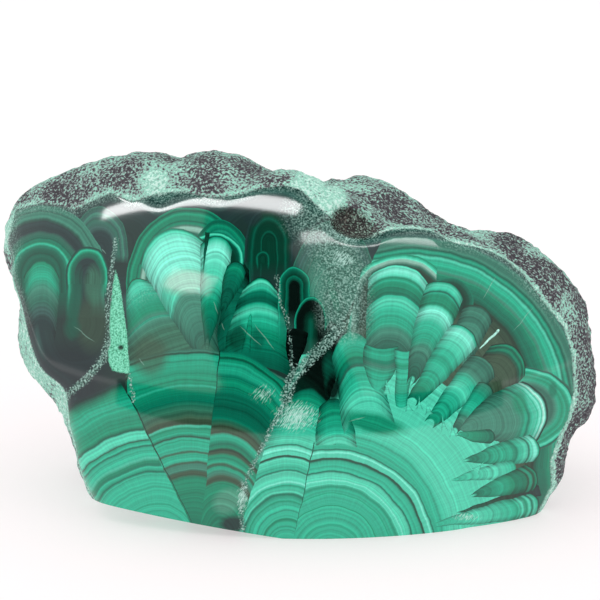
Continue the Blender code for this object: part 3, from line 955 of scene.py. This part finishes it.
def paint_column(painted, column, serial):
    axis = Vector(column.cap) - Vector(column.root)
    length = axis.length
    widening = column.half_cap - column.half_root
    form = {
        **own_axes(column.root, math.atan2(-axis.x, axis.y), (1.0, length)),
        "root": column.half_root,
        "slope": widening * (1.0 + column.swell),
        "bow": -widening * column.swell,
        "droop": column.droop / length,
        "length": length,
        "serial": serial * GROWTH_SPACING,
    }
    form = add("Group", form, node_tree=column_form).outputs
    stops = [(1.0 - below / length, colour) for below, colour in reversed(layers_of(column.bands))]
    root, cap = (0.0, no_ink(stops[0][1])), (1.0, no_ink(stops[-1][1]))
    bands = add("ValToRGB", {"Fac": form["layer"]})
    set_stops(bands, [root, *within_ramp(stops), cap])
    return lay(painted, bands, form["Grain"], form["within"], column.keep)


# The form of an arch. Its own place is in shares of its width and height, so each layer is a plain circle
# there. Its legs fade out over this share of their length.
LEG_FADE = 0.6
arch_form, given = open_group(
    "growth_arch", OWN_PLACE + ("height", "fading", "serial"), ("layer", "legs", "Grain")
)
across, along = own_place(arch_form, given)
above = add("Math", {0: along, 1: 0.0}, arch_form, operation="MAXIMUM").outputs[0]
layer = far_from(arch_form, across, above)
faded = {0: along, 1: given["fading"], 2: 1.0 / LEG_FADE}
legs = add("Math", faded, arch_form, operation="MULTIPLY_ADD").outputs[0]
spaced = {0: layer, 1: given["height"], 2: given["serial"]}
deep = add("Math", spaced, arch_form, operation="MULTIPLY_ADD").outputs[0]
angle = add("Math", {0: across, 1: above}, arch_form, operation="ARCTAN2").outputs[0]
around = add("Math", {0: angle, 1: given["height"]}, arch_form, operation="MULTIPLY").outputs[0]
grain = add("CombineXYZ", {0: deep, 1: around}, arch_form).outputs[0]
add("NodeGroupOutput", {"layer": layer, "legs": legs, "Grain": grain}, arch_form)


def paint_arch(painted, arch, serial):
    form = {
        **own_axes(arch.centre, math.radians(arch.lean), (arch.half_width, arch.height)),
        "height": arch.height,
        "fading": arch.height / (LEG_FADE * arch.legs),
        "serial": serial * GROWTH_SPACING,
    }
    form = add("Group", form, node_tree=arch_form).outputs
    core, *rings = [(radius / arch.height, colour) for radius, colour in layers_of(arch.rings)]
    bands = add("ValToRGB", {"Fac": form["layer"]})
    set_stops(bands, [core, *within_ramp(rings), (1.0, no_ink(rings[-1][1]))])
    return lay(painted, bands, form["Grain"], form["legs"], arch.keep)


# Under the growths: dark layers that follow the natural skin inwards, drawn out to this depth.
SKIN_LAYERS = "0 moss, 0.5 smoke, 0.9 slate, 1.5 smoke, 2.2 slate, 12 umber"
SKIN_LAYERS_DEPTH = 12.0
SKIN_GRAIN_STRETCH = 0.4
skin_depth = add("Attribute", attribute_name="under_skin").outputs["Fac"]
skin_inwards = add("Math", {0: skin_depth, 1: 1.0 / SKIN_LAYERS_DEPTH}, operation="MULTIPLY").outputs[0]
skin_bands = add("ValToRGB", {"Fac": skin_inwards})
set_stops(skin_bands, [(depth / SKIN_LAYERS_DEPTH, colour) for depth, colour in layers_of(SKIN_LAYERS)])
skin_grain = add("Math", {0: skin_depth, 1: SKIN_GRAIN_STRETCH}, operation="MULTIPLY").outputs[0]
painted = (skin_bands.outputs["Color"], add("CombineXYZ", {0: skin_grain}).outputs[0])
for serial, growth in enumerate(GROWTHS, start=1):
    if isinstance(growth, Column):
        painted = paint_column(painted, growth, serial)
    else:
        painted = paint_arch(painted, growth, serial)


# A soft patch: its strength in the middle and nothing at its edge.
patch_form, given = open_group("soft_patch", OWN_PLACE + ("steepness", "strength"), ("share",))
far = far_from(patch_form, *own_place(patch_form, given))
near = add("Math", {0: 1.0, 1: far}, patch_form, operation="SUBTRACT").outputs[0]
near = add("Math", {0: near, 1: given["steepness"]}, patch_form, operation="MULTIPLY").outputs[0]
near = add("Math", {0: near, 1: given["strength"]}, patch_form, operation="MINIMUM").outputs[0]
add("NodeGroupOutput", {"share": near}, patch_form)


def patch(centre, half_width, half_height, lean, steepness, strength):
    """The share of a soft patch at each place on the face."""
    form = own_axes(centre, math.radians(lean), (half_width, half_height))
    form.update(steepness=steepness, strength=strength)
    return add("Group", form, node_tree=patch_form).outputs[0]


SOFT_TINT_STEEPNESS = 2.2
SCRATCH_HALF_WIDTH = 0.12
SCRATCH_STEEPNESS = 1.4
SCRATCH_STRENGTH = 0.45
softly_tinted = painted[0]
for soft_tint in SOFT_TINTS:
    near = patch(*soft_tint[1:5], SOFT_TINT_STEEPNESS * soft_tint.strength, soft_tint.strength)
    tinted = {0: near, 6: softly_tinted, 7: linear(GREENS[soft_tint.colour])}
    softly_tinted = add("Mix", tinted, data_type="RGBA").outputs[2]
for (from_u, from_w), (to_u, to_w) in SCRATCHES:
    middle = ((from_u + to_u) / 2.0, (from_w + to_w) / 2.0)
    half_length = math.dist((from_u, from_w), (to_u, to_w)) / 2.0
    lean = math.degrees(math.atan2(from_u - to_u, to_w - from_w))
    near = patch(middle, SCRATCH_HALF_WIDTH, half_length, lean, SCRATCH_STEEPNESS, SCRATCH_STRENGTH)
    softly_tinted = add("Mix", {0: near, 6: softly_tinted, 7: linear(GREENS["ash"])}, data_type="RGBA").outputs[2]

# Fine layers, 0.8 mm apart and finer, and silky fibres that stand across them. Both make the colour lighter
# or darker. Towards a column's sides, where its layers turn away, painted shade of its sheen darkens it.
FINE_LAYER = 0.8
FIBRE_WIDTH = 0.45
FIBRE_LENGTH = 4.0
LAYER_CONTRAST = 1.4
FIBRE_CONTRAST = 0.3
LEAST_LIGHT = 0.16
SIDE_FROM = 0.2
SIDE_SHADE = 0.6
grain_parts = add("SeparateXYZ", {0: painted[1]})
fine_layers = add(
    "TexNoise",
    {"W": grain_parts.outputs[0], "Scale": 1.0 / FINE_LAYER, "Detail": 3.0, "Roughness": 0.7},
    noise_dimensions="1D",
).outputs[0]
fibre_place = add(
    "VectorMath", {0: painted[1], 1: (1.0 / FIBRE_LENGTH, 1.0 / FIBRE_WIDTH, 0.0)}, operation="MULTIPLY"
).outputs[0]
fibre_noise = {"Vector": fibre_place, "Scale": 1.0, "Detail": 2.0}
fibres = add("TexNoise", fibre_noise, noise_dimensions="2D").outputs[0]
layer_light = {0: fine_layers, 1: LAYER_CONTRAST, 2: LEAST_LIGHT}
lit = add("Math", layer_light, operation="MULTIPLY_ADD").outputs[0]
lit = add("Math", {0: fibres, 1: FIBRE_CONTRAST, 2: lit}, operation="MULTIPLY_ADD").outputs[0]
# Painted shade towards a column's sides.
side = {0: grain_parts.outputs[2], 1: SIDE_FROM, 2: 1.0, 3: 0.0, 4: SIDE_SHADE}
shaded = add("MapRange", side).outputs[0]
lit = add("Math", {0: lit, 1: shaded}, operation="SUBTRACT").outputs[0]
polished_green = add("VectorMath", {0: softly_tinted, "Scale": lit}, operation="SCALE").outputs[0]

# Loose grains along the seams and in the belt, a third of a millimetre across: near-black, grey green and
# light green. The seams' edges are frayed by the grains themselves, and the belt lets the green through.
GRAIN_WIDTH = 0.36
GRAIN_COLOURS = ((0.38, "#17302A"), (0.5, "#507D70"), (0.70, "#B8DFD3"))
SEAM_FRAY = -1.6
SEAM_EDGE = (-1.0, -0.55)
SEAM_MOST = 0.85
BELT_MOST = 0.62
speckle = add("TexNoise", {"Vector": turned, "Scale": 1.0 / GRAIN_WIDTH, "Detail": 2.0}).outputs[0]


def speckled(grains, stops):
    """The colour of grains: hex colours at rising values of their texture."""
    ramp = add("ValToRGB", {"Fac": grains})
    return set_stops(ramp, [(value, linear(colour)) for value, colour in stops])


def frayed_edge(attribute, fray, edge, within, beyond):
    """How far a material reaches, from an attribute that its grains fray: its share on both sides."""
    here = add("Attribute", attribute_name=attribute).outputs["Fac"]
    frayed = add("Math", {0: speckle, 1: fray, 2: here}, operation="MULTIPLY_ADD").outputs[0]
    return add("MapRange", {0: frayed, 1: edge[0], 2: edge[1], 3: within, 4: beyond}).outputs[0]


grain_colour = speckled(speckle, GRAIN_COLOURS)
seam_share = frayed_edge("seam", SEAM_FRAY, SEAM_EDGE, SEAM_MOST, 0.0)
belt_share = add("Attribute", attribute_name="crown_grains").outputs["Fac"]
belt_share = add("Math", {0: belt_share, 1: BELT_MOST}, operation="MULTIPLY").outputs[0]
seam_share = add("Math", {0: seam_share, 1: belt_share}, operation="MAXIMUM").outputs[0]
seamed = add("Mix", {0: seam_share, 6: polished_green, 7: grain_colour}, data_type="RGBA").outputs[2]

# Where the polish was rubbed through: short whitish streaks, all one way. Each scuff is a place on the
# face, its half width and half height, and its strength.
SCUFFS = (
    ((-1.0, -14.2), 5.4, 3.6, 1.0), ((-11.7, -30.5), 1.4, 4.2, 0.8), ((33.0, -34.2), 3.4, 1.0, 0.6),
    ((-7.4, -9.6), 3.0, 2.4, 0.5), ((9.4, 22.6), 4.0, 2.6, 0.9), ((8.4, 17.4), 2.8, 2.2, 0.7),
)
STREAK_TURN = math.radians(-35.0)
STREAK_SIZE = (0.24, 1.1, 1.0)
SCUFF_WEIGHT = 0.4
SCUFF_EDGE = (0.58, 0.9)
SCUFF_MOST = 0.85
SCUFF_FADE = 0.25
scuffed = 0.0
for centre, half_width, half_height, strength in SCUFFS:
    near = patch(centre, half_width, half_height, 0.0, strength, strength)
    scuffed = add("Math", {0: near, 1: scuffed}, operation="MAXIMUM").outputs[0]
streak_place = add(
    "Mapping",
    {"Vector": face, "Rotation": (0.0, 0.0, STREAK_TURN), "Scale": STREAK_SIZE},
    vector_type="TEXTURE",
).outputs[0]
streak_noise = {"Vector": streak_place, "Scale": 1.0, "Detail": 2.0}
streaks = add("TexNoise", streak_noise, noise_dimensions="2D").outputs[0]
rubbed = add("Math", {0: scuffed, 1: SCUFF_WEIGHT, 2: streaks}, operation="MULTIPLY_ADD").outputs[0]
streak_share = {0: rubbed, 1: SCUFF_EDGE[0], 2: SCUFF_EDGE[1], 3: 0.0, 4: SCUFF_MOST}
rubbed = add("MapRange", streak_share).outputs[0]
bounded = add("MapRange", {0: scuffed, 1: 0.0, 2: SCUFF_FADE}).outputs[0]
rubbed = add("Math", {0: rubbed, 1: bounded}, operation="MULTIPLY").outputs[0]
seamed = add("Mix", {0: rubbed, 6: seamed, 7: linear("#C4EEE2")}, data_type="RGBA").outputs[2]

# The chalky wedge is soft green powder with a ragged edge, and its pit is darkened with painted shade.
CHALK_COLOURS = ((0.34, "#35936F"), (0.47, "#62CBA4"), (0.62, "#8CE8C8"))
CHALK_FRAY = 0.8
CHALK_EDGE = (0.3, 0.5)
PIT_FLOOR = 0.4
PIT_SHADE_MOST = 0.9
chalk_colour = speckled(speckle, CHALK_COLOURS)
chalk_share = frayed_edge("wedge", CHALK_FRAY, CHALK_EDGE, 1.0, 0.0)
face_colour = add("Mix", {0: chalk_share, 6: seamed, 7: chalk_colour}, data_type="RGBA").outputs[2]
off_pit = add("VectorMath", {0: flat_face, 1: (*PIT_PLACE, 0.0)}, operation="DISTANCE").outputs["Value"]
pit_shade_edges = {0: off_pit, 1: PIT_FLOOR * PIT_RADIUS, 2: PIT_RADIUS, 3: PIT_SHADE_MOST, 4: 0.0}
pit_shade = add("MapRange", pit_shade_edges).outputs[0]
face_colour = add("Mix", {0: pit_shade, 6: face_colour, 7: linear("#0E1F1A")}, data_type="RGBA").outputs[2]

# Natural skin: purple-black crust with light green grains, denser on its crests and in patches. It meets
# the polish along an edge that its grains fray.
FLECK_WIDTH = 0.52
CRUST_LIGHTNESS = 0.3
CRUST_COLOURS = (
    (0.47, "#38343C"), (0.54, "#5A555C"), (0.60, "#8AA09A"), (0.66, "#9AC9BA"), (0.76, "#8FD8C0"),
    (0.90, "#D2F4E8"),
)
RIND_FRAY = 0.6
RIND_EDGE = (0.1, 0.5)
lightness = add("Attribute", attribute_name="light_crust").outputs["Fac"]
fleck_noise = {"Vector": turned, "Scale": 1.0 / FLECK_WIDTH, "Detail": 2.0, "Roughness": 0.6}
flecks = add("TexNoise", fleck_noise).outputs[0]
crust = add("Math", {0: lightness, 1: CRUST_LIGHTNESS, 2: flecks}, operation="MULTIPLY_ADD").outputs[0]
crust_colour = speckled(crust, CRUST_COLOURS)
rind_share = frayed_edge("skin_over_dome", RIND_FRAY, RIND_EDGE, 0.0, 1.0)
stone_colour = add("Mix", {0: rind_share, 6: face_colour, 7: crust_colour}, data_type="RGBA").outputs[2]

# The pocket is darkened with painted shade of its hole, with real brown and grey crumbs that spill over its
# edge.
POCKET_SHADE_AND_CRUMBS = ((0.48, "#1C1A17"), (0.6, "#4E483A"), (0.72, "#9C9880"))
POCKET_FRAY = 2.4
POCKET_EDGE = (1.2, 2.0)
pocket_share = frayed_edge("pocket", POCKET_FRAY, POCKET_EDGE, 1.0, 0.0)
pocket_shade_and_crumbs = speckled(speckle, POCKET_SHADE_AND_CRUMBS)
stone_colour = add("Mix", {0: pocket_share, 6: stone_colour, 7: pocket_shade_and_crumbs}, data_type="RGBA").outputs[2]

# The buffed face is nearly a mirror, and the crust and the chalk are dull. The crust's grains stand up a
# little. Malachite refracts at 1.65 to 1.91, and this lower value is matched to how weakly the face
# mirrors in the photograph.
BUFFED = 0.08
DULL = 0.75
REFRACTION = 1.52
SKIN_GRAIN_HEIGHT = 0.35 * MM
dull = add("Math", {0: rind_share, 1: chalk_share}, operation="MAXIMUM").outputs[0]
gloss = add("MapRange", {0: dull, 1: 0.0, 2: 1.0, 3: BUFFED, 4: DULL}).outputs[0]
grain_height = add("Math", {0: speckle, 1: rind_share}, operation="MULTIPLY").outputs[0]
rough_skin = add("Bump", {"Height": grain_height, "Distance": SKIN_GRAIN_HEIGHT, "Strength": 1.0}).outputs[0]
malachite.node_tree.links.new(stone_colour, shader.inputs["Base Color"])
malachite.node_tree.links.new(gloss, shader.inputs["Roughness"])
malachite.node_tree.links.new(rough_skin, shader.inputs["Normal"])
shader.inputs["IOR"].default_value = REFRACTION
mesh.materials.append(malachite)

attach(stone_piece, "root")
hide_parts("malachite_stone")

# Studio: a broad sheet of matt white paper under the stone, wide soft lights round it, and a long lens at
# the photograph's angle. The paper glows a little, which gives the even white of a light tent.
FLOOR_HALF_SIZE = 6.0
FLOOR_ROUGHNESS = 0.9
FLOOR_GLOW = 0.52
floor_mesh = bpy.data.meshes.new("studio_floor")
floor_form = bmesh.new()
bmesh.ops.create_grid(floor_form, x_segments=1, y_segments=1, size=FLOOR_HALF_SIZE)
floor_form.to_mesh(floor_mesh)
floor_form.free()
floor = bpy.data.objects.new("studio_floor", floor_mesh)
bpy.context.scene.collection.objects.link(floor)
floor_paint = bpy.data.materials.new("white_paper")
floor_paint.use_nodes = True
floor_shader = floor_paint.node_tree.nodes["Principled BSDF"]
floor_shader.inputs["Base Color"].default_value = linear("#BCB6B7")
floor_shader.inputs["Roughness"].default_value = FLOOR_ROUGHNESS
floor_shader.inputs["Emission Color"].default_value = linear("#FFF9FA")
floor_shader.inputs["Emission Strength"].default_value = FLOOR_GLOW
floor_mesh.materials.append(floor_paint)

# The tent's white walls light the stone from all round, but its polish doesn't mirror them.
TENT_GLOW = 0.84
bpy.context.scene.view_settings.view_transform = "Standard"
world = bpy.data.worlds.new("studio")
bpy.context.scene.world = world
world.use_nodes = True
world.node_tree.nodes["Background"].inputs["Color"].default_value = linear("#FFFFFF")
world.node_tree.nodes["Background"].inputs["Strength"].default_value = TENT_GLOW
world.cycles_visibility.glossy = False

# Each panel runs from one point to another, in metres, with its width square to that and its face to the
# stone's middle. The tent's roof lights the stone, and the others only show in its polish: the two strips
# over it make the bright line along the rim, and the window and the walls veil its sides.
STONE_MIDDLE = Vector((0.0, 0.0, 0.03))
SoftPanel = namedtuple("SoftPanel", "name start end width radiance")
SOFT_PANELS = (
    SoftPanel("tent", (-1.2, 0.1, 1.1), (1.2, 0.1, 1.1), 1.8, 0.5),
    SoftPanel("ceiling_strip_left", (-1.06, 0.14, 1.0), (-0.04, -0.31, 1.0), 0.1, 17.0),
    SoftPanel("ceiling_strip_right", (-0.04, -0.55, 1.0), (0.66, -0.44, 1.0), 0.09, 8.0),
    SoftPanel("window_left", (-0.66, -0.56, 0.72), (-0.46, -0.72, 0.72), 0.14, 4.5),
    SoftPanel("wall_left", (-0.785, -0.748, -0.52), (-0.769, 0.496, 0.781), 1.9, 0.9),
    SoftPanel("wall_right", (0.924, -0.641, -0.432), (0.346, -0.011, 1.154), 1.9, 0.8),
)
for panel in SOFT_PANELS:
    start, end = Vector(panel.start), Vector(panel.end)
    middle = (start + end) / 2.0
    lengthways = (end - start).normalized()
    away = middle - STONE_MIDDLE
    away = (away - away.dot(lengthways) * lengthways).normalized()
    light = bpy.data.lights.new(panel.name, "AREA")
    light.shape = "RECTANGLE"
    light.size = (end - start).length
    light.size_y = panel.width
    light.energy = panel.radiance * math.pi * light.size * light.size_y
    light_piece = bpy.data.objects.new(panel.name, light)
    light_piece.matrix_world = Matrix.Translation(middle) @ Matrix(
        (lengthways, away.cross(lengthways), away)
    ).transposed().to_4x4()
    light_piece.visible_camera = False
    light_piece.visible_diffuse = panel.name == "tent"
    light_piece.visible_glossy = panel.name != "tent"
    bpy.context.scene.collection.objects.link(light_piece)

# A low black card ahead of the stone keeps the far floor out of the polish. Only the polish sees it.
CARD_WIDTH = 0.34
CARD_HEIGHT = 0.032
CARD_AHEAD = 0.125
card_mesh = bpy.data.meshes.new("black_card")
card_form = bmesh.new()
bmesh.ops.create_grid(card_form, x_segments=1, y_segments=1, size=0.5)
bmesh.ops.scale(card_form, vec=(CARD_WIDTH, CARD_HEIGHT, 1.0), verts=card_form.verts)
bmesh.ops.rotate(card_form, matrix=Matrix.Rotation(math.pi / 2.0, 3, "X"), verts=card_form.verts)
bmesh.ops.translate(card_form, vec=(0.0, -CARD_AHEAD, CARD_HEIGHT / 2.0), verts=card_form.verts)
card_form.to_mesh(card_mesh)
card_form.free()
card = bpy.data.objects.new("black_card", card_mesh)
bpy.context.scene.collection.objects.link(card)
card_paint = bpy.data.materials.new("black_felt")
card_paint.use_nodes = True
card_shader = card_paint.node_tree.nodes["Principled BSDF"]
card_shader.inputs["Base Color"].default_value = linear("#000000")
card_shader.inputs["Roughness"].default_value = 1.0
card_shader.inputs["Specular IOR Level"].default_value = 0.0
card_mesh.materials.append(card_paint)
card.visible_camera = False
card.visible_diffuse = False
card.visible_shadow = False

# The photograph was taken from far off, so the lens is long. The frame takes in this width at the camera's
# distance, which is measured from a plane a little behind the aim.
FRAME_WIDTH = 120.0 * MM
LENS = 1000.0
SENSOR = 36.0
CAMERA_FAR = FRAME_WIDTH * LENS / SENSOR
BEHIND_AIM = 30.0 * MM
AIM = Vector((0.1, -25.4, 49.3)) * MM
sight = Vector((0.0, math.cos(TILT), -math.sin(TILT)))
camera_data = bpy.data.cameras.new("long_lens")
camera_data.lens = LENS
camera_data.sensor_width = SENSOR
camera_data.clip_end = 50.0
camera = bpy.data.objects.new("long_lens", camera_data)
camera.location = AIM - sight * (CAMERA_FAR - BEHIND_AIM)
camera.rotation_euler = (math.pi / 2.0 - TILT, 0.0, 0.0)
bpy.context.scene.collection.objects.link(camera)
bpy.context.scene.camera = camera
